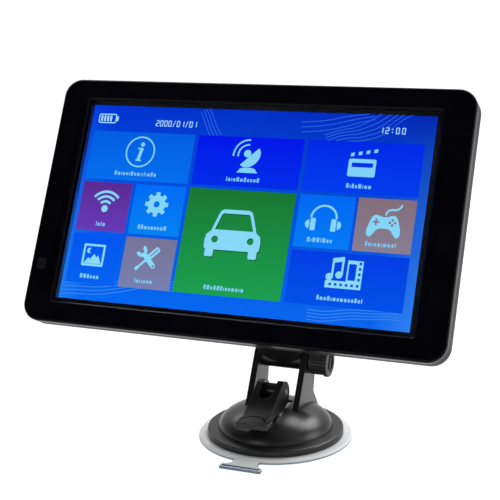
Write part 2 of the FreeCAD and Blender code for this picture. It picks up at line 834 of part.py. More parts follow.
def pull_rod():
    top = pin_z + rod_radius + 0.4
    rod = cylinder_z(0, 0, plate_low, top - 1.0, rod_radius)
    head = cylinder_x(-rod_radius, rod_radius, pin_y, pin_z, rod_radius + 0.6)
    neck = box(-rod_radius, rod_radius, pin_y - rod_radius - 0.6, rod_radius, lever_seat + 4.5, pin_z)
    neck = neck.common(cylinder_z(0, 0, 0, 60, 8.0))
    rod = rod.common(cylinder_z(0, 0, 0, pin_z, rod_radius))
    rod = fuse([rod, neck, head])
    return rod.cut(cylinder_x(-20, 20, pin_y, pin_z, pin_radius + 0.01))


def rod_plate():
    plate = cylinder_z(0, 0, plate_low, plate_low + rod_plate_thickness, rod_plate_radius)
    circle = (rod_radius + rod_plate_radius) / 2 + 0.4
    angles = [2 * math.pi * step / rod_plate_holes for step in range(rod_plate_holes)]
    holes = [cylinder_z(circle * math.cos(angle), circle * math.sin(angle), 0, 20, 1.4) for angle in angles]
    return cut(plate, holes + [cylinder_z(0, 0, 0, 20, rod_radius)])


def suction_pad():
    """Clear cup with its centre pulled up, sealing ribs below and a pull tab in front."""
    profile = [(10, pad_lift), (0, pad_lift), (0, pad_hub_top), (pad_hub_radius, pad_hub_top),
               (pad_hub_radius + 2, pad_lift + pad_thickness),
               (pad_hollow_radius - 1, pad_thickness), (pad_radius - 0.8, pad_thickness),
               (pad_radius, pad_thickness - 0.9), (pad_radius, 0.4), (pad_radius - 0.4, 0),
               (pad_hollow_radius, 0), (10, pad_lift)]
    pad = turned(profile)
    for radius in [pad_radius - inset for inset in seal_rib_insets]:
        groove = cylinder_z(0, 0, 0, 0.4, radius + 0.5).cut(cylinder_z(0, 0, -1, 1, radius - 0.5))
        pad = pad.cut(groove)
    end = -pad_radius - tab_length
    neck = tab_neck_width / 2
    wide = tab_end_width / 2
    tab = prism([(-neck, -pad_radius + 4), (-neck, end + 6), (-wide, end + 3), (-wide, end),
                 (wide, end), (wide, end + 3), (neck, end + 6), (neck, -pad_radius + 4)], "z", 0, 1.4)
    ridge = box(-wide + 1, wide - 1, end + 1.2, end + 2.6, 1.2, 2.2)
    pad = fuse([pad, tab, ridge])
    return cut(pad, [rod_plate(), cylinder_z(0, 0, plate_low, 20, rod_radius)])


def rod_spring():
    """Pair of conical spring washers, wide side to wide side, that push the cup down."""
    low = pad_hub_top
    high = bridge_low
    middle = (low + high) / 2
    inner = spring_inner
    outer = spring_inner + spring_width
    profile = [(inner, low), (inner + spring_leaf, low), (outer, middle), (inner + spring_leaf, high),
               (inner, high), (outer - spring_leaf, middle), (inner, low)]
    return turned(profile)


def fork():
    """Two arms that lean back from the dome to the clamp, joined by a bridge inside the dome."""
    down = Vector(0, -math.sin(math.radians(arm_lean)), -math.cos(math.radians(arm_lean)))
    back = Vector(0, math.cos(math.radians(arm_lean)), -math.sin(math.radians(arm_lean)))
    axis = Vector(0, clamp_axis_y, clamp_axis_z)
    front_top = axis - back * arm_half_depth
    front_low = front_top + down * ((front_top.z - bridge_top + arm_foot_drop) / math.cos(math.radians(arm_lean)))
    rear_top = axis + back * arm_half_depth
    outline = [(front_top.y, front_top.z), (front_low.y, front_low.z), arm_heel, arm_waist, arm_shoulder,
               (rear_top.y, rear_top.z)]
    arms = []
    for side in (-1, 1):
        x0, x1 = sorted((side * arm_gap / 2, side * arm_outer))
        arm = prism(outline, "x", x0, x1).fuse(cylinder_x(x0, x1, axis.y, axis.z, arm_half_depth))
        arm = arm.cut(dome_solid(0.05))
        arms.append(fuse([arm, tenon(side, 0)]))
    bridge = box(-arm_outer, arm_outer, bridge_front, bridge_rear, bridge_low, bridge_top)
    strap_end = fork_screw_y + fork_post_radius + 0.1
    strap_half = guide_radius - strap_inset
    strap = box(-strap_half, strap_half, -strap_end, strap_end, bridge_low, bridge_top)
    body = fuse(arms + [bridge, strap])
    tools = [cylinder_z(0, 0, 0, 30, guide_radius + 0.1)]
    tools += [cylinder_z(0, side * fork_screw_y, 0, 20, fork_screw_radius + 0.27) for side in (-1, 1)]
    tools += [cylinder_x(-arm_outer - 1, arm_outer + 1, axis.y, axis.z, bolt_radius + bolt_clearance)]
    hex_pocket = clamp_bolt().common(box(-2 * arm_outer, -arm_outer + bolt_head_sunk, -20, 20, -20, 20))
    tools.append(lean(hex_pocket))
    return cut(body, tools)


def fork_screws():
    head_low = bridge_low - fork_screw_head_height
    screws = []
    for side in (-1, 1):
        y = side * fork_screw_y
        head = cylinder_z(0, y, head_low, bridge_low, fork_screw_head_radius)
        shank = cylinder_z(0, y, bridge_low, seat_low - 0.8, fork_screw_radius)
        slot = box(-1.4, 1.4, y - 0.25, y + 0.25, head_low - 0.1, head_low + 0.5)
        screws.append(head.fuse(shank).cut(slot))
    return Part.makeCompound(screws)


def lever():
    """Cam lever: two eccentric cheeks on the pin and a thumb pad over the front of the dome."""
    angle = math.radians(cam_start)
    cam_y = pin_y - cam_offset * math.sin(angle)
    cam_z = pin_z - cam_offset * math.cos(angle)
    half = lever_width / 2
    cam = cylinder_x(-half, half, cam_y, cam_z, cam_radius)
    thumb_rear = -thumb_reach + thumb_depth
    wedge = [(2.4, 5.0), (-2.6, 6.8), (-4.6, 6.2), (thumb_rear, -5.4), (-thumb_reach + 1, thumb_top),
             (-thumb_reach + 1, thumb_low), (thumb_rear, -8.4), (-2.0, -7.3), (2.4, 0.0)]
    body = prism([(pin_y + y, pin_z + z) for y, z in wedge], "x", -half, half)
    pad = box(-thumb_width / 2, thumb_width / 2, pin_y - thumb_reach, pin_y - thumb_reach + thumb_depth,
              pin_z + thumb_low, pin_z + thumb_top)
    uprights = [edge for edge in pad.Edges if abs(edge.tangentAt(edge.FirstParameter).z) > 0.9]
    pad = pad.makeFillet(1.6, uprights)
    rim = [edge for edge in pad.Edges if abs(edge.CenterOfMass.z - pin_z - thumb_top) < 1e-6]
    pad = pad.makeFillet(0.7, rim)
    body = fuse([cam, body, pad])
    slot_end = pin_y - 10.4
    slot = box(-lever_slot / 2, lever_slot / 2, slot_end, pin_y + 20, pin_z - 20, pin_z + 20)
    slot_round = cylinder_z(0, slot_end, pin_z - 20, pin_z + 20, lever_slot / 2)
    moon = cylinder_z(0, pin_y - thumb_reach + 0.5, pin_z + thumb_top - 0.6, pin_z, 8.0)
    moon = moon.cut(cylinder_z(0, pin_y - thumb_reach + 0.5, pin_z + thumb_top - 1, pin_z, 7.2))
    moon = moon.common(box(-10, 10, pin_y - thumb_reach + 2.2, pin_y, 0, 60))
    tools = [slot, slot_round, moon, cylinder_x(-20, 20, pin_y, pin_z, pin_radius + pin_clearance)]
    for step in range(6):
        tools.append(Part.makeSphere(0.6, Vector(2.5 * (step - 2.5), pin_y - thumb_reach + 1.6, pin_z + thumb_top + 0.1)))
    return cut(body, tools)


def lever_pin():
    half = lever_width / 2 + 0.3
    return cylinder_x(-half, half, pin_y, pin_z, pin_radius)


def export_base():
    export(suction_pad(), "suction_pad")
    export(cup_shell(), "cup_shell")
    export(seat_plate(), "seat_plate")
    export(fork(), "fork")
    export(fork_screws(), "fork_screws")
    export(rod_spring(), "rod_spring")
    export(pull_rod(), "pull_rod")
    export(rod_plate(), "rod_plate")
    export(lever(), "lever")
    export(lever_pin(), "lever_pin")


os.makedirs("parts", exist_ok=True)
export_navigator()
export_clamp()
export_base()
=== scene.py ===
import json
import math
import random
import bpy
from mathutils import Matrix, Vector


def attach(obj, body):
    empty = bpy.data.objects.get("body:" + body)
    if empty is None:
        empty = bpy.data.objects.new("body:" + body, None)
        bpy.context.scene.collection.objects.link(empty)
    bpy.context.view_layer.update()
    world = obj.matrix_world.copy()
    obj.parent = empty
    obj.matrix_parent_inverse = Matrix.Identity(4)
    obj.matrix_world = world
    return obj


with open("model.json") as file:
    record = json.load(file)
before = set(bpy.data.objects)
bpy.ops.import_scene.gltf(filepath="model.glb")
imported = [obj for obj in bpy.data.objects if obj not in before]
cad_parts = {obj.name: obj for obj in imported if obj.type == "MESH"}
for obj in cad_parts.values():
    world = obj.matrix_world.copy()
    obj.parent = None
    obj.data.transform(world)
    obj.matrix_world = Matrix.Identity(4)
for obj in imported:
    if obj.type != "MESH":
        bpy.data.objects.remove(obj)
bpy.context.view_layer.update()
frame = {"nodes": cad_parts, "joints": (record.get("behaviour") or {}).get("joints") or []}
cadNodes = frame["nodes"]
joints = {joint["name"]: joint for joint in frame["joints"]}

# the navigator leans back, so everything on it is placed along its own three directions
rightWay = Vector((1, 0, 0))
upWay = Vector(joints["unclip_slide"]["axis"]).normalized()
backWay = upWay.cross(rightWay)


def leanPoint(x, back, up):
    return rightWay * x + backWay * back + upWay * up


def leanBox(name):
    points = [(v.co.dot(rightWay), v.co.dot(backWay), v.co.dot(upWay)) for v in cadNodes[name].data.vertices]
    low = [min(point[axis] for point in points) for axis in range(3)]
    high = [max(point[axis] for point in points) for axis in range(3)]
    return low, high


def linear(hexColour, alpha=1.0):
    channels = [int(hexColour[i:i + 2], 16) / 255 for i in (1, 3, 5)]
    return tuple(c / 12.92 if c <= 0.04045 else ((c + 0.055) / 1.055) ** 2.4 for c in channels) + (alpha,)


def addNode(tree, kind, settings=None, values=None, links=None):
    node = tree.nodes.new(kind)
    for name, value in (settings or {}).items():
        setattr(node, name, value)
    for socket, value in (values or {}).items():
        node.inputs[socket].default_value = value
    for socket, source in (links or {}).items():
        tree.links.new(source, node.inputs[socket])
    return node


def startMaterial(name, colour, roughness, **sockets):
    material = bpy.data.materials.new(name)
    material.use_nodes = True
    tree = material.node_tree
    shader = tree.nodes["Principled BSDF"]
    shader.inputs["Base Color"].default_value = linear(colour)
    shader.inputs["Roughness"].default_value = roughness
    for socket, value in sockets.items():
        shader.inputs[socket.replace("_", " ")].default_value = value
    place = addNode(tree, "ShaderNodeTexCoord").outputs["Object"]
    return material, tree, shader, place


def addGrain(tree, shader, place, grainMm, depthMm, roughLow, roughHigh, edgeMm=0.0):
    # fine moulded grain in the normal, and slow drift in the roughness from handling
    grain = addNode(tree, "ShaderNodeTexNoise", values={"Scale": 1000 / grainMm, "Detail": 3.0, "Roughness": 0.55},
                    links={"Vector": place})
    bump = addNode(tree, "ShaderNodeBump", values={"Strength": 0.6, "Distance": depthMm / 1000},
                   links={"Height": grain.outputs["Fac"]})
    if edgeMm:
        edge = addNode(tree, "ShaderNodeBevel", settings={"samples": 6}, values={"Radius": edgeMm / 1000})
        tree.links.new(edge.outputs["Normal"], bump.inputs["Normal"])
    tree.links.new(bump.outputs["Normal"], shader.inputs["Normal"])
    drift = addNode(tree, "ShaderNodeTexNoise", values={"Scale": 45.0, "Detail": 4.0}, links={"Vector": place})
    spread = addNode(tree, "ShaderNodeMapRange", values={"From Min": 0.35, "From Max": 0.65,
                                                         "To Min": roughLow, "To Max": roughHigh},
                     links={"Value": drift.outputs["Fac"]})
    tree.links.new(spread.outputs["Result"], shader.inputs["Roughness"])


def addTint(tree, shader, place, colours, patchMm):
    # two close colours in soft patches, as pigment settles in a moulding
    patches = addNode(tree, "ShaderNodeTexNoise", values={"Scale": 1000 / patchMm, "Detail": 5.0},
                      links={"Vector": place})
    ramp = addNode(tree, "ShaderNodeValToRGB", links={"Fac": patches.outputs["Fac"]})
    for stop, position, colour in zip(ramp.color_ramp.elements, (0.35, 0.65), colours):
        stop.position = position
        stop.color = linear(colour)
    tree.links.new(ramp.outputs["Color"], shader.inputs["Base Color"])


# case and mount plastics
def bezelAbs():
    # moulded black ABS, polished tool: deep black with a soft, slightly uneven sheen
    material, tree, shader, place = startMaterial("polishedBlackAbs", "#020206", 0.3, IOR=1.46, Specular_IOR_Level=0.08)
    addTint(tree, shader, place, ("#010106", "#03030a"), 30)
    addGrain(tree, shader, place, 0.35, 0.004, 0.27, 0.33)
    return material


def coverAbs():
    # moulded black ABS from a spark-eroded tool: an even fine grain that breaks up highlights
    material, tree, shader, place = startMaterial("sparkGrainAbs", "#0c0c0e", 0.46, IOR=1.5, Specular_IOR_Level=0.15)
    addTint(tree, shader, place, ("#0c0c0e", "#101012"), 18)
    addGrain(tree, shader, place, 0.6, 0.04, 0.46, 0.51, 0.3)
    return material


def mountNylon():
    # glass-filled nylon, satin charcoal: broad soft highlights and faint flow marks
    material, tree, shader, place = startMaterial("satinCharcoalNylon", "#121213", 0.3, IOR=1.53,
                                                  Specular_IOR_Level=0.32)
    addTint(tree, shader, place, ("#0f0f10", "#151516"), 12)
    addGrain(tree, shader, place, 0.45, 0.012, 0.28, 0.34, 0.35)
    return material


def knobNylon():
    # the same nylon, a little darker and drier where fingers grip it
    material, tree, shader, place = startMaterial("gripCharcoalNylon", "#121213", 0.44, IOR=1.53,
                                                  Specular_IOR_Level=0.35)
    addTint(tree, shader, place, ("#101011", "#1a1a1b"), 6)
    addGrain(tree, shader, place, 0.4, 0.03, 0.42, 0.55, 0.2)
    return material


def clearVinyl():
    # soft clear PVC moulding: milky grey through its face. The side walls are painted a darker blue-grey by the way
    # they face, painted shade that stands in for the light having further to go through the cut edge
    material, tree, shader, place = startMaterial("clearSoftVinyl", "#bbbcbd", 0.24, IOR=1.42, Transmission_Weight=0.2)
    facing = addNode(tree, "ShaderNodeTexCoord").outputs["Normal"]
    split = addNode(tree, "ShaderNodeSeparateXYZ", links={"Vector": facing})
    # painted shade: faces standing upright take the darker blue-grey, faces lying flat take the pale grey
    upright = addNode(tree, "ShaderNodeMath", settings={"operation": "ABSOLUTE"}, links={0: split.outputs["Z"]})
    ramp = addNode(tree, "ShaderNodeValToRGB", links={"Fac": upright.outputs["Value"]})
    for stop, position, colour in zip(ramp.color_ramp.elements, (0.1, 0.5), ("#52637a", "#c4c5c6")):
        stop.position = position
        stop.color = linear(colour)
    tree.links.new(ramp.outputs["Color"], shader.inputs["Base Color"])
    ripple = addNode(tree, "ShaderNodeTexNoise", values={"Scale": 60.0, "Detail": 1.0}, links={"Vector": place})
    bump = addNode(tree, "ShaderNodeBump", values={"Strength": 0.15, "Distance": 0.0002},
                   links={"Height": ripple.outputs["Fac"]})
    tree.links.new(bump.outputs["Normal"], shader.inputs["Normal"])
    return material


def touchGlass():
    # hard-coated clear glass over the panel, with the faintest finger haze
    material, tree, shader, place = startMaterial("hardCoatedGlass", "#fbfdfe", 0.03, IOR=1.12, Transmission_Weight=1.0,
                                                  Specular_IOR_Level=0.3)
    haze = addNode(tree, "ShaderNodeTexNoise", values={"Scale": 60.0, "Detail": 6.0}, links={"Vector": place})
    spread = addNode(tree, "ShaderNodeMapRange", values={"To Min": 0.01, "To Max": 0.035},
                     links={"Value": haze.outputs["Fac"]})
    tree.links.new(spread.outputs["Result"], shader.inputs["Roughness"])
    return material


# metals and inner parts
def brushedMetal(name, colour, roughness, grainMm, stretch):
    # drawn or rolled metal: fine lines one way only
    material, tree, shader, place = startMaterial(name, colour, roughness, Metallic=1.0)
    stretched = addNode(tree, "ShaderNodeMapping", values={"Scale": stretch}, links={"Vector": place})
    lines = addNode(tree, "ShaderNodeTexNoise", values={"Scale": 1000 / grainMm, "Detail": 2.0},
                    links={"Vector": stretched.outputs["Vector"]})
    bump = addNode(tree, "ShaderNodeBump", values={"Strength": 0.4, "Distance": 0.00002},
                   links={"Height": lines.outputs["Fac"]})
    edge = addNode(tree, "ShaderNodeBevel", settings={"samples": 4}, values={"Radius": 0.00015})
    tree.links.new(edge.outputs["Normal"], bump.inputs["Normal"])
    tree.links.new(bump.outputs["Normal"], shader.inputs["Normal"])
    spread = addNode(tree, "ShaderNodeMapRange", values={"To Min": roughness * 0.8, "To Max": roughness * 1.3},
                     links={"Value": lines.outputs["Fac"]})
    tree.links.new(spread.outputs["Result"], shader.inputs["Roughness"])
    return material


def solderMask():
    # green solder mask: copper runs show through as slightly lighter lines
    material, tree, shader, place = startMaterial("greenSolderMask", "#0c4a2a", 0.35, IOR=1.5)
    tracks = addNode(tree, "ShaderNodeTexBrick", settings={"offset": 0.5},
                     values={"Scale": 240.0, "Color1": linear("#0b4526"), "Color2": linear("#0d4f2d"),
                             "Mortar": linear("#1a7445"), "Mortar Size": 0.03}, links={"Vector": place})
    tree.links.new(tracks.outputs["Color"], shader.inputs["Base Color"])
    return material


def plainFinish(name, colours, roughness, patchMm, grainMm, depthMm, **sockets):
    material, tree, shader, place = startMaterial(name, colours[0], roughness, **sockets)
    addTint(tree, shader, place, colours, patchMm)
    addGrain(tree, shader, place, grainMm, depthMm, roughness * 0.9, min(1.0, roughness * 1.1), 0.1)
    return material


def dress(material, *names):
    for name in names:
        mesh = cadNodes[name].data
        mesh.materials.clear()
        mesh.materials.append(material)


dress(bezelAbs(), "front_bezel")
dress(coverAbs(), "rear_cover", "power_button")
dress(mountNylon(), "fork", "cup_shell", "lever", "back_clip")
dress(knobNylon(), "clamp_knob")
dress(clearVinyl(), "suction_pad")
dress(touchGlass(), "touch_panel")
dress(plainFinish("blackPanelRim", ("#010103", "#030305"), 0.4, 20, 0.5, 0.002, Specular_IOR_Level=0.1), "lcd_panel")
dress(brushedMetal("brightPinSteel", "#c8c9cb", 0.22, 0.3, (1, 6, 6)), "lever_pin")
dress(brushedMetal("rolledTinPlate", "#a9abad", 0.32, 0.4, (1, 8, 1)), "shield_can", "card_socket", "usb_socket")
dress(brushedMetal("rolledAluminium", "#b4b6b9", 0.38, 0.5, (8, 1, 1)), "backlight_frame")
dress(brushedMetal("blackZincSteel", "#3c3c3f", 0.36, 0.3, (4, 1, 1)),
      "case_screws", "board_screws", "fork_screws", "clamp_bolt")
dress(brushedMetal("springSteel", "#8d8f92", 0.3, 0.3, (4, 4, 1)), "rod_spring", "seat_plate", "rod_plate")
dress(brushedMetal("turnedBrass", "#b08d4a", 0.28, 0.2, (1, 5, 5)), "knob_insert")
dress(solderMask(), "main_board")
dress(plainFinish("epoxyMoulding", ("#141416", "#1b1b1e"), 0.55, 4, 0.2, 0.01),
      "board_chips", "microphone", "reset_switch", "power_switch", "speaker")
dress(plainFinish("blackConnectorNylon", ("#121213", "#19191b"), 0.45, 6, 0.3, 0.01), "earphone_jack", "memory_card")
dress(plainFinish("firedCeramic", ("#b8ad95", "#c6bca6"), 0.6, 5, 0.3, 0.02), "gps_antenna")
dress(plainFinish("pouchFoil", ("#8f9398", "#9a9ea3"), 0.35, 10, 1.2, 0.05, Metallic=0.6), "battery")
dress(plainFinish("closedCellFoam", ("#08080a", "#101012"), 0.9, 3, 0.5, 0.15), "screen_gasket", "speaker_foam")
dress(plainFinish("amberFlex", ("#a8661c", "#b9752a"), 0.4, 8, 0.6, 0.01), "display_ribbon", "touch_ribbon")
dress(plainFinish("blackAcetal", ("#1a1a1b", "#222224"), 0.35, 6, 0.3, 0.01),
      "friction_washers", "knob_washer", "pull_rod")
dress(plainFinish("smokedWindow", ("#0b0b0e", "#101014"), 0.15, 8, 0.5, 0.002), "indicator_window")
dress(plainFinish("whiteLedEpoxy", ("#d9d7b8", "#e6e4c8"), 0.3, 1, 0.2, 0.005), "indicator_led")
print("finishes on the CAD pieces:", len({node.data.materials[0].name for node in cadNodes.values()}))


# the menu is laid out in millimetres from the middle of the lit area
screen = {"width": 200.1, "height": 112.3, "offCentre": -1.05, "rowTop": 40.9, "rowPitch": 29.9, "rowHeight": 28.1,
          "sheet": 0.03}

panelLow, panelHigh = leanBox("lcd_panel")
panelFace = leanPoint((panelLow[0] + panelHigh[0]) / 2 + screen["offCentre"] / 1000, panelLow[1],
                      (panelLow[2] + panelHigh[2]) / 2)
screenPlace = Matrix.Translation(panelFace) @ Matrix((rightWay, upWay, -backWay)).transposed().to_4x4()


def litCrystal(name, topColour, bottomColour, top, bottom, strength=1.0, hatch=0.0):
    # backlit liquid crystal: its colour comes from behind, so it is light rather than paint
    material, tree, shader, place = startMaterial(name, "#000000", 0.5, Specular_IOR_Level=0.0)
    split = addNode(tree, "ShaderNodeSeparateXYZ", links={"Vector": place})
    heights = [(panelFace + upWay * level / 1000).z for level in (bottom, top)]
    fade = addNode(tree, "ShaderNodeMapRange", values={"From Min": heights[0], "From Max": heights[1]},
                   links={"Value": split.outputs["Z"]})
    ramp = addNode(tree, "ShaderNodeValToRGB", links={"Fac": fade.outputs["Result"]})
    for stop, colour in zip(ramp.color_ramp.elements, (bottomColour, topColour)):
        stop.color = linear(colour)
    # columns of colour stripes, drawn coarser than they are so that they show
    mesh = addNode(tree, "ShaderNodeTexWave", settings={"wave_type": "BANDS", "bands_direction": "X"},
                   values={"Scale": 260.0}, links={"Vector": place})
    dim = addNode(tree, "ShaderNodeMapRange", values={"To Min": 0.97, "To Max": 1.02},
                  links={"Value": mesh.outputs["Fac"]})
    glow = addNode(tree, "ShaderNodeVectorMath", settings={"operation": "SCALE"},
                   links={0: ramp.outputs["Color"], "Scale": dim.outputs["Result"]})
    if hatch:
        # fine slanting hatch across the whole tile
        slant = addNode(tree, "ShaderNodeTexWave", settings={"wave_type": "BANDS", "bands_direction": "DIAGONAL"},
                        values={"Scale": 290.0}, links={"Vector": place})
        band = addNode(tree, "ShaderNodeMapRange", values={"To Min": 1 - hatch, "To Max": 1 + hatch},
                       links={"Value": slant.outputs["Fac"]})
        glow = addNode(tree, "ShaderNodeVectorMath", settings={"operation": "SCALE"},
                       links={0: glow.outputs["Vector"], "Scale": band.outputs["Result"]})
    tree.links.new(glow.outputs["Vector"], shader.inputs["Emission Color"])
    shader.inputs["Emission Strength"].default_value = strength
    return material


def pieceFromMesh(name, mesh, body, material):
    mesh.materials.clear()
    mesh.materials.append(material)
    piece = bpy.data.objects.new(name, mesh)
    bpy.context.scene.collection.objects.link(piece)
    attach(piece, body)
    return piece


def flatPiece(name, loops, level, material):
    # closed loops in screen millimetres; a loop inside another is a hole
    curve = bpy.data.curves.new(name, "CURVE")
    curve.dimensions = "2D"
    curve.fill_mode = "BOTH"
    curve.extrude = screen["sheet"] / 2000
    for loop in loops:
        spline = curve.splines.new("POLY")
        spline.points.add(len(loop) - 1)
        spline.use_cyclic_u = True
        for point, (x, y) in zip(spline.points, loop):
            point.co = (x / 1000, y / 1000, 0, 1)
    carrier = bpy.data.objects.new(name + "Curve", curve)
    bpy.context.scene.collection.objects.link(carrier)
    bpy.context.view_layer.update()
    mesh = bpy.data.meshes.new_from_object(carrier.evaluated_get(bpy.context.evaluated_depsgraph_get()))
    bpy.data.objects.remove(carrier)
    mesh.transform(screenPlace @ Matrix.Translation((0, 0, level / 1000)))
    return pieceFromMesh(name, mesh, "navigator", material)


def disc(x, y, radius, steps=40):
    return [(x + radius * math.cos(2 * math.pi * i / steps), y + radius * math.sin(2 * math.pi * i / steps))
            for i in range(steps)]


def turnedPoints(points, x, y, degrees):
    c, s = math.cos(math.radians(degrees)), math.sin(math.radians(degrees))
    return [(x + c * a - s * b, y + s * a + c * b) for a, b in points]


def bar(x, y, width, height, round=0.0, degrees=0.0):
    corner = min(round, width / 2, height / 2)
    points = []
    for sideX, sideY, start in ((1, 1, 0), (-1, 1, 90), (-1, -1, 180), (1, -1, 270)):
        cx, cy = sideX * (width / 2 - corner), sideY * (height / 2 - corner)
        for i in range(7 if corner else 1):
            angle = math.radians(start + 15 * i)
            points.append((cx + corner * math.cos(angle), cy + corner * math.sin(angle)))
    return turnedPoints(points, x, y, degrees)


def bow(x, y, inner, outer, start, end, steps=24):
    angles = [math.radians(start + (end - start) * i / steps) for i in range(steps + 1)]
    return ([(x + outer * math.cos(a), y + outer * math.sin(a)) for a in angles]
            + [(x + inner * math.cos(a), y + inner * math.sin(a)) for a in reversed(angles)])


def gearWheel(x, y, inner, outer, teeth):
    points = []
    for i in range(teeth):
        for offset, radius in ((-0.32, inner), (-0.2, outer), (0.2, outer), (0.32, inner)):
            angle = 2 * math.pi * (i + offset) / teeth
            points.append((x + radius * math.cos(angle), y + radius * math.sin(angle)))
    return points


# each picture is a list of layers about its own middle; a layer is a list of closed loops
def aboutPicture():
    return [[disc(0, 0, 9.0), disc(0, 0, 8.1)], [disc(0.9, 4.3, 1.25, 20)],
            [bar(0.1, -1.3, 1.9, 7.4, 0.5, -12)], [bar(-0.2, 1.9, 3.0, 0.9, 0.2)], [bar(-0.4, -4.9, 3.4, 0.9, 0.2)]]


def dishPicture():
    bowl = [(6.8 * math.cos(math.radians(a)), 5.4 * math.sin(math.radians(a))) for a in range(-180, 1, 9)]
    return [[turnedPoints(bowl, 1.4, 0.0, 45)], [disc(0.0, 1.6, 2.1, 24)],
            [bow(0.4, 0.8, 5.3, 6.2, 88, 190)], [bow(0.4, 0.8, 8.0, 8.9, 88, 186)],
            [[(-4.8, -9.2), (-3.0, -6.9), (-1.0, -6.3), (3.4, -6.3), (5.4, -6.9), (7.2, -9.2)]]]


def clapperPicture():
    marks = [turnedPoints([(-1.0, -0.9), (1.0, -0.9), (1.4, 0.9), (-0.6, 0.9)], x, 4.4 + (x + 7.2) * 0.19, 10)
             for x in (-6.0, -1.9, 2.2, 6.3)]
    return [[bar(0, -2.4, 14.8, 9.6, 1.0), bar(0.1, -0.9, 11.4, 2.4, 0.2)], marks]


def wavesPicture():
    return [[disc(0, -4.2, 2.0, 24), bow(0, -4.2, 3.5, 4.9, 45, 135), bow(0, -4.2, 6.3, 7.7, 43, 137),
             bow(0, -4.2, 9.1, 10.5, 41, 139)]]


def gearPicture():
    return [[gearWheel(0, 0, 5.2, 7.0, 8), disc(0, 0, 1.8, 28)]]


def landscapePicture():
    moon = bow(-2.9, 2.4, 0.0, 1.5, 60, 300)
    return [[bar(0, 0, 13.4, 12.4, 0.6), bar(0, 0, 11.0, 10.0, 0.3)],
            [[(-5.3, -4.8), (-2.9, -1.4), (-1.7, -2.5), (0.4, 0.7), (1.9, -1.2), (3.1, -0.1), (5.3, -4.8)]], [moon]]


def ribbon(points, width):
    # closed outline of a line with a width
    sides = ([], [])
    for i, (x, y) in enumerate(points):
        before, after = points[max(i - 1, 0)], points[min(i + 1, len(points) - 1)]
        run = math.hypot(after[0] - before[0], after[1] - before[1])
        nx, ny = -(after[1] - before[1]) / run, (after[0] - before[0]) / run
        for side, sign in zip(sides, (1, -1)):
            side.append((x + sign * nx * width / 2, y + sign * ny * width / 2))
    return sides[0] + sides[1][::-1]


def toolsPicture():
    jaw = bow(-4.0, 4.0, 1.3, 3.2, 196, 434)
    handle = turnedPoints(bar(0, -1.6, 2.8, 10.4, 1.4), 0, 0, 45)
    return [[handle, disc(3.9, -3.9, 0.7, 16)], [jaw],
            [turnedPoints(bar(0, 4.9, 3.2, 7.2, 0.7), 0, 0, -45), turnedPoints(bar(0, 4.9, 0.7, 5.6, 0.2), 0, 0, -45)],
            [turnedPoints(bar(0, -3.0, 1.2, 8.6, 0.3), 0, 0, -45)],
            [turnedPoints(bar(0, -7.9, 2.0, 2.4, 0.6), 0, 0, -45)]]


def carPicture():
    body = [(-16.0, -5.0), (-15.4, -1.8), (-12.9, 0.4), (-9.9, 9.4), (-8.9, 11.4), (-7.2, 12.3), (7.2, 12.3),
            (8.9, 11.4), (9.9, 9.4), (12.9, 0.4), (15.4, -1.8), (16.0, -5.0), (15.8, -9.0), (14.6, -10.0),
            (-14.6, -10.0), (-15.8, -9.0)]
    glass = [(-11.0, 1.0), (-8.2, 9.1), (-7.4, 10.1), (7.4, 10.1), (8.2, 9.1), (11.0, 1.0)]
    return [[body, glass, disc(-10.2, -4.4, 1.9, 24), disc(10.2, -4.4, 1.9, 24)],
            [bar(-12.4, -11.4, 4.8, 5.0, 0.9)], [bar(12.4, -11.4, 4.8, 5.0, 0.9)]]


def phonesPicture():
    return [[bow(0, -0.6, 6.4, 7.5, 2, 178)], [bar(-5.6, -3.8, 2.8, 6.6, 0.5)], [bar(5.6, -3.8, 2.8, 6.6, 0.5)],
            [bow(-7.4, -3.8, 0.0, 2.4, 100, 260)], [bow(7.4, -3.8, 0.0, 2.4, -80, 80)]]


def padPicture():
    half = [(0, 3.4), (1.8, 3.6), (3.4, 4.3), (5.0, 4.4), (6.3, 3.6), (7.2, 1.8), (8.1, -0.8), (8.8, -3.4), (8.8, -5.6),
            (8.0, -7.0), (6.7, -7.2), (5.4, -5.8), (4.2, -3.9), (3.0, -2.9), (1.5, -2.6), (0, -2.6)]
    body = half + [(-x, y) for x, y in half[-2:0:-1]]
    arm, thick = 1.8, 0.5
    corners = [(thick, thick), (thick, arm), (-thick, arm), (-thick, thick), (-arm, thick), (-arm, -thick),
               (-thick, -thick), (-thick, -arm), (thick, -arm), (thick, -thick), (arm, -thick), (arm, thick)]
    cross = [(x - 4.3, y + 0.7) for x, y in corners]
    dots = [disc(4.3 + dx, 0.7 + dy, 0.72, 14) for dx, dy in ((1.35, 0), (-1.35, 0), (0, 1.35), (0, -1.35))]
    cable = [(0.4, 4.4), (0.6, 5.6), (1.5, 6.9), (3.0, 7.4), (4.8, 7.4), (6.4, 7.8), (7.6, 8.8), (8.4, 10.3)]
    return [[body, cross] + dots, [ribbon(cable, 1.0)]]


def reelPicture():
    frames = [bar(2.2 + 2.9 * i, -6.0, 1.4, 1.4, 0.2) for i in range(-3, 3)]
    side = [bar(8.3, -5.6 + 2.8 * i, 1.3, 1.5, 0.2) for i in range(1, 5)]
    strip = [(-9.2, -7.9), (9.8, -7.9), (9.8, 7.0), (1.6, 7.0), (1.6, -4.1), (-9.2, -4.1)]
    return [[strip, bar(4.4, 0.9, 4.0, 8.6, 0.4)] + frames + side,
            [bar(-0.9, 3.4, 1.1, 8.6)], [bar(-6.0, 2.4, 1.1, 8.8)], [bar(-3.4, 6.9, 6.2, 2.4, 0.2, 11)],
            [disc(-2.4, -1.0, 1.9, 24)], [disc(-7.4, -2.2, 1.9, 24)]]


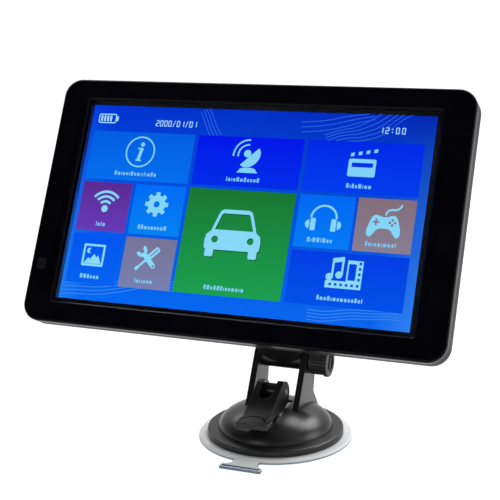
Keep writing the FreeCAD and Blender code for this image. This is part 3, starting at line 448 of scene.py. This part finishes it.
menuTiles = [
    {"name": "about", "column": (-96.0, -32.9), "rows": (0, 0), "colours": ("#025fe4", "#0470f0"),
     "picture": aboutPicture, "middle": (-64.6, 29.6), "title": 27},
    {"name": "signal", "column": (-30.7, 30.5), "rows": (0, 0), "colours": ("#0216ec", "#022dea"),
     "picture": dishPicture, "middle": (-0.6, 30.0), "title": 20},
    {"name": "film", "column": (32.7, 95.2), "rows": (0, 0), "colours": ("#0228e8", "#013eef"),
     "picture": clapperPicture, "middle": (63.7, 29.2), "title": 14},
    {"name": "radio", "column": (-96.0, -65.5), "rows": (1, 1), "colours": ("#5c2b94", "#693bb9"),
     "picture": wavesPicture, "middle": (-80.2, 0.0), "title": 7},
    {"name": "settings", "column": (-63.4, -32.8), "rows": (1, 1), "colours": ("#016df8", "#0483f3"),
     "picture": gearPicture, "middle": (-48.9, 0.2), "title": 18},
    {"name": "navigation", "column": (-30.7, 30.5), "rows": (1, 2), "colours": ("#197832", "#1ca050"),
     "picture": carPicture, "middle": (-1.2, -12.3), "title": 24},
    {"name": "music", "column": (32.7, 63.0), "rows": (1, 1), "colours": ("#0269f4", "#047df7"),
     "picture": phonesPicture, "middle": (47.4, -0.9), "title": 15},
    {"name": "games", "column": (64.7, 95.2), "rows": (1, 1), "colours": ("#876f7b", "#8b8094"),
     "picture": padPicture, "middle": (79.6, -2.0), "title": 17},
    {"name": "pictures", "column": (-96.0, -65.5), "rows": (2, 2), "colours": ("#0257f2", "#0464f3"),
     "picture": landscapePicture, "middle": (-81.6, -30.9), "title": 12},
    {"name": "tools", "column": (-63.4, -32.8), "rows": (2, 2), "colours": ("#7a7596", "#7a82b1"),
     "picture": toolsPicture, "middle": (-48.6, -30.4), "title": 11},
    {"name": "media", "column": (32.7, 95.2), "rows": (2, 2), "colours": ("#033ee6", "#0252ea"),
     "picture": reelPicture, "middle": (62.2, -29.4), "title": 25},
]


def titleBlanks(x, y, width, rng):
    # a row of plain rounded blanks stands in for a title, so the screen carries no words
    loops = []
    left, tall = x - width / 2, 2.6
    while left < x + width / 2 - 1.0:
        wide = rng.choice((0.55, 1.2, 1.4, 1.6))
        loops.append(bar(left + wide / 2, y - 1.1 + tall / 2, wide, tall, 0.5))
        left += wide + 0.55
        tall = rng.choice((1.8, 1.8, 1.8, 2.5))
    return loops


def segmentDigit(x, y, digit):
    # clock figures built from straight strokes, like any digital clock
    strokes = {"a": (0, 1.55, 1.5, 0.5), "b": (0.75, 0.78, 0.5, 1.5), "c": (0.75, -0.78, 0.5, 1.5),
               "d": (0, -1.55, 1.5, 0.5),
               "e": (-0.75, -0.78, 0.5, 1.5), "f": (-0.75, 0.78, 0.5, 1.5), "g": (0, 0, 1.5, 0.5)}
    lit = {"0": "abcdef", "1": "bc", "2": "abged"}[digit]
    return [bar(x + strokes[key][0], y + strokes[key][1], strokes[key][2], strokes[key][3], 0.12) for key in lit]


def joinPieces(name, parts):
    bpy.ops.object.select_all(action="DESELECT")
    for part in parts:
        part.select_set(True)
    bpy.context.view_layer.objects.active = parts[0]
    if len(parts) > 1:
        bpy.ops.object.join()
    parts[0].name = name
    parts[0].data.name = name
    return parts[0]


def rowEdges(rows):
    top = screen["rowTop"] - screen["rowPitch"] * rows[0]
    bottom = screen["rowTop"] - screen["rowPitch"] * rows[1] - screen["rowHeight"]
    return top, bottom


def backdropCrystal():
    # the lit ground of the menu: deep blue above, paler below and towards the corners
    material, tree, shader, place = startMaterial("litGroundCrystal", "#000000", 0.5, Specular_IOR_Level=0.0)
    split = addNode(tree, "ShaderNodeSeparateXYZ", links={"Vector": place})
    left, right = panelFace.x - screen["width"] / 2000, panelFace.x + screen["width"] / 2000
    low, high = [(panelFace + upWay * side * screen["height"] / 2000).z for side in (-1, 1)]
    across = addNode(tree, "ShaderNodeMapRange", values={"From Min": left, "From Max": right},
                     links={"Value": split.outputs["X"]})
    upward = addNode(tree, "ShaderNodeMapRange", values={"From Min": low, "From Max": high},
                     links={"Value": split.outputs["Z"]})
    ramps = []
    for stops in (("#2080f2", "#036af4", "#0a66ee", "#2e80f2"), ("#013fe1", "#0234d2", "#022cbc", "#0228b0")):
        ramp = addNode(tree, "ShaderNodeValToRGB", links={"Fac": across.outputs["Result"]})
        for position in (0.08, 0.9):
            ramp.color_ramp.elements.new(position)
        for stop, colour in zip(ramp.color_ramp.elements, stops):
            stop.color = linear(colour)
        ramps.append(ramp)
    swirl = addNode(tree, "ShaderNodeTexNoise", values={"Scale": 22.0, "Detail": 3.0, "Distortion": 1.6},
                    links={"Vector": place})
    level = addNode(tree, "ShaderNodeMath", settings={"operation": "MULTIPLY_ADD"},
                    values={1: 0.16, 2: -0.08}, links={0: swirl.outputs["Fac"]})
    total = addNode(tree, "ShaderNodeMath", settings={"operation": "ADD", "use_clamp": True},
                    links={0: upward.outputs["Result"], 1: level.outputs["Value"]})
    mix = addNode(tree, "ShaderNodeMix", settings={"data_type": "RGBA"}, links={"Factor": total.outputs["Value"]})
    tree.links.new(ramps[0].outputs["Color"], mix.inputs[6])
    tree.links.new(ramps[1].outputs["Color"], mix.inputs[7])
    tree.links.new(mix.outputs[2], shader.inputs["Emission Color"])
    shader.inputs["Emission Strength"].default_value = 1.0
    return material


flatPiece("menuGround", [bar(0, 0, screen["width"], screen["height"])], 0.02, backdropCrystal())
rng = random.Random(7)
pictureGlow = litCrystal("litPictureCrystal", "#7fd2f8", "#8fe0fa", 41, -47)
titleGlow = litCrystal("litTitleCrystal", "#74bdf2", "#7fcbf3", 41, -47)
figureGlow = litCrystal("litFigureCrystal", "#a4dcfa", "#a4dcfa", 41, -47)
titleLoops = []
for tile in menuTiles:
    top, bottom = rowEdges(tile["rows"])
    x0, x1 = tile["column"]
    x, y = tile["middle"]
    main = tile["name"] == "navigation"
    glow = litCrystal(tile["name"] + "TileCrystal", tile["colours"][0], tile["colours"][1], top, bottom,
                      hatch=0.07 if main else 0.0)
    outline = bar((x0 + x1) / 2, (top + bottom) / 2, x1 - x0, top - bottom, 0.2)
    flatPiece(tile["name"] + "Tile", [outline], 0.08, glow)
    picture = tile["picture"]()
    if main:
        shade = litCrystal("carShadeCrystal", "#0f5a2c", "#0f6a36", top, bottom)
        joinPieces("carShade", [flatPiece("carShade%d" % i, [turnedPoints(loop, x + 0.5, y - 0.6, 0) for loop in layer],
                                          0.12, shade) for i, layer in enumerate(picture)])
    joinPieces(tile["name"] + "Picture",
               [flatPiece("%sLayer%d" % (tile["name"], i), [turnedPoints(loop, x, y, 0) for loop in layer], 0.16,
                          pictureGlow) for i, layer in enumerate(picture)])
    titleLoops += titleBlanks(x, bottom + 4.0, tile["title"], rng)
flatPiece("menuTitles", titleLoops, 0.16, titleGlow)
topRow = {"cellX": -88.8, "cellY": 48.4, "clockY": 47.6, "dayX": -57.2, "dayY": 46.7, "dayStep": 2.55}
x, y = topRow["cellX"], topRow["cellY"]
cell = [[bar(x, y, 11.2, 5.6, 1.2), bar(x, y, 10.0, 4.4, 0.8)], [bar(x + 6.2, y, 1.2, 2.8, 0.4)],
        [bar(x - 3.6 + 1.9 * i, y, 1.2, 3.4, 0.2) for i in range(4)]]
joinPieces("cellGauge", [flatPiece("cellGauge%d" % i, loops, 0.1, figureGlow) for i, loops in enumerate(cell)])
figures = {71.4: "1", 74.5: "2", 80.1: "0", 83.3: "0"}
clock = [loop for x, digit in figures.items() for loop in segmentDigit(x, topRow["clockY"], digit)]
clock += [bar(77.3, topRow["clockY"] + side, 0.6, 0.6, 0.1) for side in (0.8, -0.8)]
joinPieces("clockFigures", [flatPiece("clockStroke%d" % i, [loop], 0.1, figureGlow) for i, loop in enumerate(clock)])
dayLoops = []
for i, figure in enumerate("2000/01/01"):
    x, y = topRow["dayX"] + topRow["dayStep"] * i, topRow["dayY"]
    dayLoops += [bar(x, y, 0.42, 3.9, 0.1, -18)] if figure == "/" else segmentDigit(x, y, figure)
joinPieces("dayFigures", [flatPiece("dayStroke%d" % i, [loop], 0.1, figureGlow) for i, loop in enumerate(dayLoops)])
print("menu tiles and pictures:", len(menuTiles))


# what repeats is grown with Geometry Nodes
def startGroup(name, inputs):
    group = bpy.data.node_groups.new(name, "GeometryNodeTree")
    group.interface.new_socket("Geometry", in_out="OUTPUT", socket_type="NodeSocketGeometry")
    for label, (kind, value) in inputs.items():
        socket = group.interface.new_socket(label, in_out="INPUT", socket_type="NodeSocket" + kind)
        if kind != "Material":
            socket.default_value = value
    return group, addNode(group, "NodeGroupInput").outputs


def endGroup(group, geometry, material):
    real = addNode(group, "GeometryNodeRealizeInstances", links={"Geometry": geometry})
    painted = addNode(group, "GeometryNodeSetMaterial",
                      links={"Geometry": real.outputs["Geometry"], "Material": material})
    addNode(group, "NodeGroupOutput", links={"Geometry": painted.outputs["Geometry"]})
    return group


def growMesh(name, group, values, place, body, material):
    # runs a node tree once and keeps its result as a plain mesh, already in its place
    carrier = bpy.data.objects.new(name + "Carrier", bpy.data.meshes.new(name + "Carrier"))
    bpy.context.scene.collection.objects.link(carrier)
    modifier = carrier.modifiers.new("grow", "NODES")
    modifier.node_group = group
    for item in group.interface.items_tree:
        if item.item_type == "SOCKET" and item.in_out == "INPUT":
            finish = item.socket_type == "NodeSocketMaterial"
            modifier[item.identifier] = material if finish else values.get(item.name, item.default_value)
    bpy.context.view_layer.update()
    mesh = bpy.data.meshes.new_from_object(carrier.evaluated_get(bpy.context.evaluated_depsgraph_get()))
    carrier.modifiers.clear()
    bpy.data.objects.remove(carrier)
    mesh.transform(place)
    mesh.update()
    return pieceFromMesh(name, mesh, body, material)


def gridGroup():
    # rows and columns of small blocks
    group, given = startGroup("blockGrid", {
        "columns": ("Int", 5), "rows": ("Int", 1), "wide": ("Float", 0.004), "high": ("Float", 0.0),
        "block": ("Vector", (0.001,) * 3), "finish": ("Material", None)})
    grid = addNode(group, "GeometryNodeMeshGrid", links={"Size X": given["wide"], "Size Y": given["high"],
                                                         "Vertices X": given["columns"], "Vertices Y": given["rows"]})
    block = addNode(group, "GeometryNodeMeshCube", links={"Size": given["block"]})
    spread = addNode(group, "GeometryNodeInstanceOnPoints",
                     links={"Points": grid.outputs["Mesh"], "Instance": block.outputs["Mesh"]})
    return endGroup(group, spread.outputs["Instances"], given["finish"])


def strokeGroup():
    # long strokes that wander together, like contour lines
    group, given = startGroup("wanderingStrokes", {
        "count": ("Int", 6), "length": ("Float", 0.06), "spacing": ("Float", 0.002), "wander": ("Float", 0.004),
        "waves": ("Float", 25.0), "width": ("Float", 0.0002), "seed": ("Float", 1.0), "finish": ("Material", None)})
    apart = addNode(group, "ShaderNodeCombineXYZ", links={"Y": given["spacing"]})
    rail = addNode(group, "GeometryNodeMeshLine", links={"Count": given["count"], "Offset": apart.outputs["Vector"]})
    end = addNode(group, "ShaderNodeCombineXYZ", links={"X": given["length"]})
    line = addNode(group, "GeometryNodeCurvePrimitiveLine", links={"End": end.outputs["Vector"]})
    spread = addNode(group, "GeometryNodeInstanceOnPoints",
                     links={"Points": rail.outputs["Mesh"], "Instance": line.outputs["Curve"]})
    real = addNode(group, "GeometryNodeRealizeInstances", links={"Geometry": spread.outputs["Instances"]})
    fine = addNode(group, "GeometryNodeResampleCurve", values={"Count": 60}, links={"Curve": real.outputs["Geometry"]})
    spot = addNode(group, "GeometryNodeInputPosition")
    noise = addNode(group, "ShaderNodeTexNoise", settings={"noise_dimensions": "4D"}, values={"Detail": 1.0},
                    links={"Vector": spot.outputs["Position"], "W": given["seed"], "Scale": given["waves"]})
    centred = addNode(group, "ShaderNodeMath", settings={"operation": "SUBTRACT"}, values={1: 0.5},
                      links={0: noise.outputs["Fac"]})
    reach = addNode(group, "ShaderNodeMath", settings={"operation": "MULTIPLY"},
                    links={0: centred.outputs["Value"], 1: given["wander"]})
    shift = addNode(group, "ShaderNodeCombineXYZ", links={"Y": reach.outputs["Value"]})
    moved = addNode(group, "GeometryNodeSetPosition",
                    links={"Geometry": fine.outputs["Curve"], "Offset": shift.outputs["Vector"]})
    shape = addNode(group, "GeometryNodeCurvePrimitiveQuadrilateral", values={"Height": 0.00002},
                    links={"Width": given["width"]})
    swept = addNode(group, "GeometryNodeCurveToMesh", values={"Fill Caps": True},
                    links={"Curve": moved.outputs["Geometry"], "Profile Curve": shape.outputs["Curve"]})
    return endGroup(group, swept.outputs["Mesh"], given["finish"])


leanPlace = Matrix((rightWay, backWay, upWay)).transposed().to_4x4()
blockGrid, strokes = gridGroup(), strokeGroup()


def atLean(x, back, up, turn):
    return leanPlace @ Matrix.Translation((x, back, up)) @ turn


strokeGlow = litCrystal("litStrokeCrystal", "#2c62e6", "#3d88f3", 50, -50)
# where each set starts and its turn in degrees, its strokes, then length, spacing and wander in millimetres
strokeSets = {
    "strokesTopRight": {"at": (44, 37), "turn": 23, "count": 5, "length": 56, "spacing": 2.1, "wander": 22, "seed": 2.0},
    "strokesTopCorner": {"at": (28, 45), "turn": 12, "count": 3, "length": 40, "spacing": 2.6, "wander": 18, "seed": 6.4},
    "strokesTopMiddle": {"at": (-32, 54), "turn": -58, "count": 4, "length": 18, "spacing": 1.6, "wander": 12, "seed": 5.0},
    "strokesFoot": {"at": (-98, -54), "turn": 7, "count": 4, "length": 70, "spacing": 1.8, "wander": 16, "seed": 9.0},
    "strokesFootRight": {"at": (46, -54.5), "turn": 5, "count": 4, "length": 48, "spacing": 1.6, "wander": 14, "seed": 3.0},
}
for name, entry in strokeSets.items():
    x, y = entry["at"]
    turn = Matrix.Rotation(math.radians(entry["turn"]), 4, "Z")
    place = screenPlace @ Matrix.Translation((x / 1000, y / 1000, 0.00005)) @ turn
    sizes = {key: entry[key] / 1000 for key in ("length", "spacing", "wander")}
    growMesh(name, strokes, sizes | {"count": entry["count"], "seed": entry["seed"], "width": 0.00045},
             place, "navigator", strokeGlow)

gold = brushedMetal("flashGoldPlate", "#d0a44c", 0.25, 0.2, (1, 4, 4))
faceBack = Matrix.Rotation(math.radians(90), 4, "X")
usbPins = {"rows": 5, "high": 0.0032, "block": (0.0055, 0.00035, 0.00012), "forward": 0.00046}
usbLow, usbHigh = leanBox("usb_socket")
usbMiddle = [(a + b) / 2 for a, b in zip(usbLow, usbHigh)]
growMesh("usbContacts", blockGrid,
         {"columns": 1, "rows": usbPins["rows"], "wide": 0.0, "high": usbPins["high"], "block": usbPins["block"]},
         atLean(usbMiddle[0], usbMiddle[1] - usbPins["forward"], usbMiddle[2], faceBack),
         "navigator", gold)
goldPads = {"columns": 18, "rows": 2, "wide": 0.034, "high": 0.0022, "block": (0.0011, 0.0006, 0.00008),
            "fromLeft": 0.065, "fromFoot": 0.0036, "proud": 0.00003}
boardLow, boardHigh = leanBox("main_board")
growMesh("boardPads", blockGrid, {key: goldPads[key] for key in ("columns", "rows", "wide", "high", "block")},
         atLean(boardLow[0] + goldPads["fromLeft"], boardHigh[1] + goldPads["proud"],
                boardLow[2] + goldPads["fromFoot"], faceBack), "navigator", gold)
print("repeated details grown")


floorSize = {"side": 80.0, "tone": "#606062", "glow": 0.93}
floorMesh = bpy.data.meshes.new("studioFloor")
half = floorSize["side"] / 2
floorMesh.from_pydata([(-half, -half, 0), (half, -half, 0), (half, half, 0), (-half, half, 0)], [], [(0, 1, 2, 3)])
floor = bpy.data.objects.new("studioFloor", floorMesh)
bpy.context.scene.collection.objects.link(floor)
floorPaper, _, floorShader, _ = startMaterial("whitePaperSweep", floorSize["tone"], 0.85)
floorShader.inputs["Emission Color"].default_value = linear("#ffffff")
floorShader.inputs["Emission Strength"].default_value = floorSize["glow"]
floorMesh.materials.append(floorPaper)

room = {"darkWay": (-0.367, -0.714, 0.597), "darkFrom": 0.25, "darkTo": 0.85, "bright": 0.7, "dark": 0.06}
world = bpy.data.worlds.new("softStudio")
world.use_nodes = True
sky = world.node_tree
direction = addNode(sky, "ShaderNodeTexCoord").outputs["Generated"]
# the front of the room is dark, so the dark glass and bezel mirror little of it
towards = addNode(sky, "ShaderNodeVectorMath", settings={"operation": "DOT_PRODUCT"}, values={1: room["darkWay"]},
                  links={0: direction})
fall = addNode(sky, "ShaderNodeMapRange", settings={"interpolation_type": "SMOOTHSTEP"},
               values={"From Min": room["darkFrom"], "From Max": room["darkTo"], "To Min": room["bright"],
                       "To Max": room["dark"]}, links={"Value": towards.outputs["Value"]})
background = sky.nodes["Background"]
background.inputs["Color"].default_value = linear("#ffffff")
sky.links.new(fall.outputs["Result"], background.inputs["Strength"])
bpy.context.scene.world = world
bpy.context.scene.view_settings.view_transform = "Standard"


# where each lamp stands, what it faces, its size in metres and its power in watts
softboxes = {
    "overheadBox": {"at": (0.35, 0.85, 1.2), "towards": (0, 0, 0.05), "size": (1.1, 0.8), "power": 26},
    "leftTopBox": {"at": (-0.8, 0.35, 1.1), "towards": (0, 0, 0.05), "size": (0.8, 0.8), "power": 12},
    "rightBox": {"at": (1.2, 0.25, 0.45), "towards": (0.05, 0, 0.1), "size": (0.6, 0.8), "power": 7},
    "lowFrontBox": {"at": (-0.25, -1.0, 0.22), "towards": (0, 0, 0.04), "size": (0.5, 0.3), "power": 1.2},
}
for name, entry in softboxes.items():
    light = bpy.data.lights.new(name, "AREA")
    light.shape = "RECTANGLE"
    light.size, light.size_y = entry["size"]
    light.energy = entry["power"]
    lamp = bpy.data.objects.new(name, light)
    lamp.location = entry["at"]
    lamp.rotation_mode = "QUATERNION"
    lamp.rotation_quaternion = (Vector(entry["towards"]) - Vector(entry["at"])).to_track_quat("-Z", "Y")
    bpy.context.scene.collection.objects.link(lamp)
print("lights:", len(softboxes))

view = {"lens": 87.7, "sensor": 36, "at": (0.2197, -0.5691, 0.2509), "towards": (-0.3676, 0.8992, -0.2376),
        "up": (-0.073, 0.225, 0.9716)}
cameraData = bpy.data.cameras.new("viewCamera")
cameraData.lens = view["lens"]
cameraData.sensor_width = view["sensor"]
camera = bpy.data.objects.new("viewCamera", cameraData)
forward = Vector(view["towards"]).normalized()
sideways = forward.cross(Vector(view["up"])).normalized()
turn = Matrix((sideways, sideways.cross(forward), -forward)).transposed().to_4x4()
camera.matrix_world = Matrix.Translation(view["at"]) @ turn
bpy.context.scene.collection.objects.link(camera)
bpy.context.scene.camera = camera

print("scene ready")
